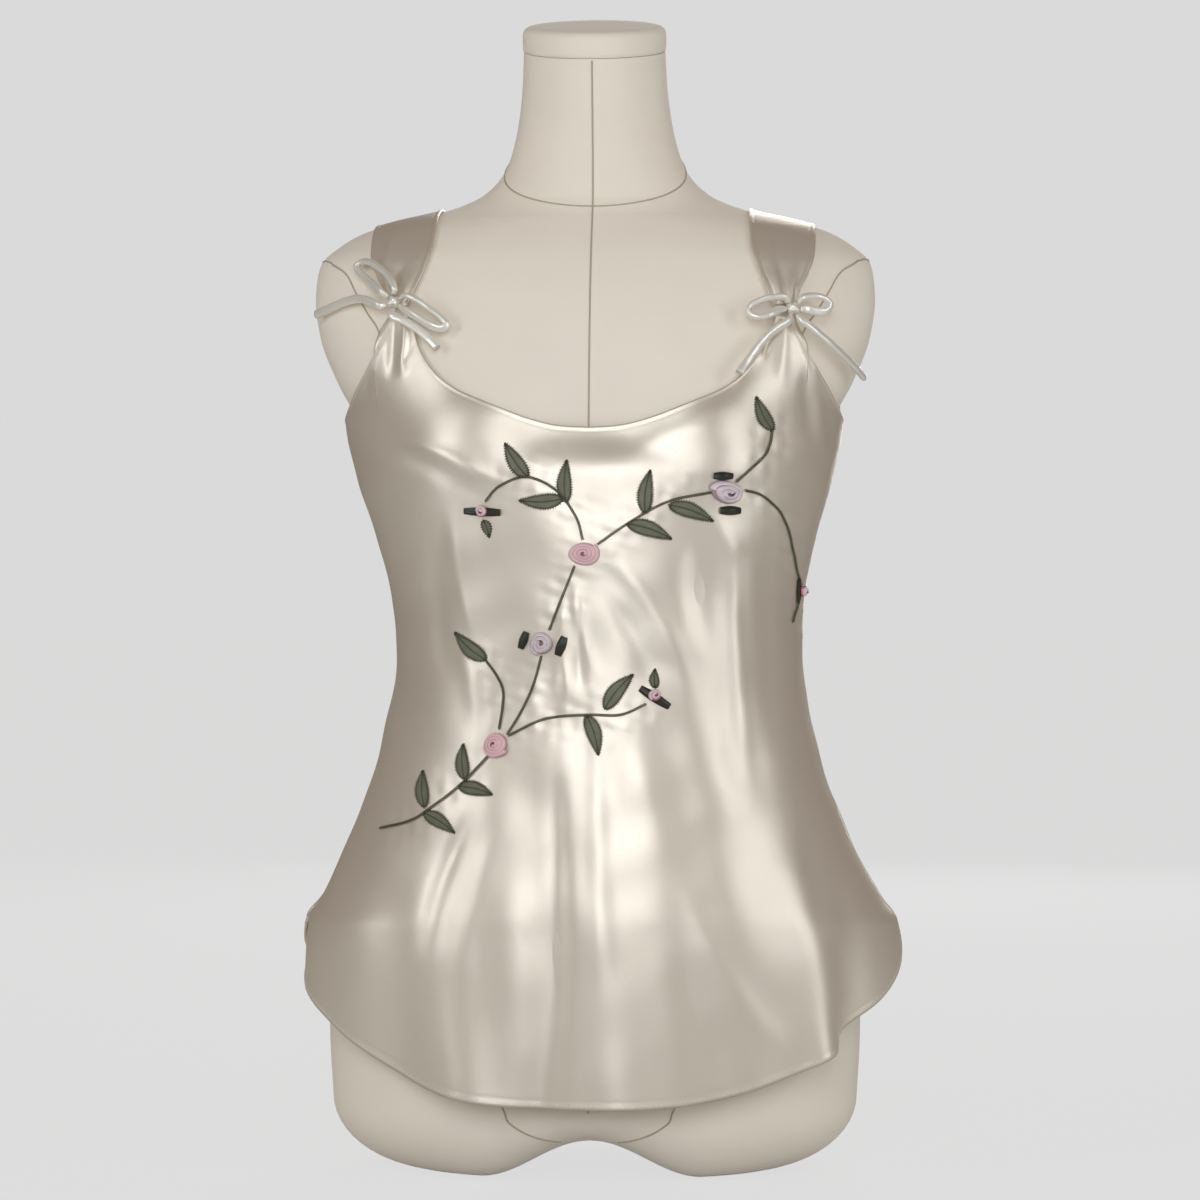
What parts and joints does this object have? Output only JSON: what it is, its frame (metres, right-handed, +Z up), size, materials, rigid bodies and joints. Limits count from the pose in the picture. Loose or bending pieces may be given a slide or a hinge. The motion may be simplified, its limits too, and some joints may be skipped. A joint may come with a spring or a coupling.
{
  "type": "satin camisole on limbless dress form",
  "caption": "Loose satin camisole with a scoop neck, tied shoulder bows, ribbon roses and a shirt-tail hem, on a limbless dress form that stands on its leg ends.",
  "frame": {"origin": "centre of the bounding box's base, on the surface that the leg ends stand on", "axes": "+Z up through the neck, the figure faces -Y, +X to the viewer's right"},
  "size_m": [0.4076, 0.2916, 0.7818],
  "materials": {
    "form_jersey": "cream knitted jersey cover, matt",
    "cap_jersey": "cream jersey over a turned cap, matt",
    "front_satin": "ivory satin, soft sheen",
    "back_satin": "ivory satin, soft sheen",
    "strap_satin": "ivory satin, soft sheen",
    "rouleau_satin": "ivory satin rouleau, pressed flat",
    "pink_ribbon": "dusty pink satin ribbon",
    "pale_ribbon": "pale lilac pink satin ribbon",
    "green_ribbon": "dark olive satin ribbon"
  },
  "bodies": {
    "root": {"form_body": "form_jersey", "form_neck_cap": "cap_jersey", "front_panel": "front_satin", "back_panel": "back_satin", "strap_left": "strap_satin", "strap_right": "strap_satin", "bow_left_knot": "rouleau_satin", "bow_left_tail_side": "rouleau_satin", "bow_left_tail_front": "rouleau_satin", "bow_left_loop_upper": "rouleau_satin", "bow_left_loop_front": "rouleau_satin", "bow_right_knot": "rouleau_satin", "bow_right_tail_front": "rouleau_satin", "bow_right_tail_side": "rouleau_satin", "bow_right_loop_front": "rouleau_satin", "bow_right_loop_side": "rouleau_satin", "rose_upper": "pink_ribbon", "rose_side": "pale_ribbon", "rose_middle": "pale_ribbon", "rose_lower": "pink_ribbon", "bud_left": "pink_ribbon", "bud_lower": "pink_ribbon", "bud_right": "pink_ribbon", "bar_left": "green_ribbon", "bar_lower": "green_ribbon", "bar_right": "green_ribbon", "leaf_side_upper": "green_ribbon", "leaf_side_lower": "green_ribbon", "leaf_middle_left": "green_ribbon", "leaf_middle_right": "green_ribbon"}
  },
  "joints": []
}
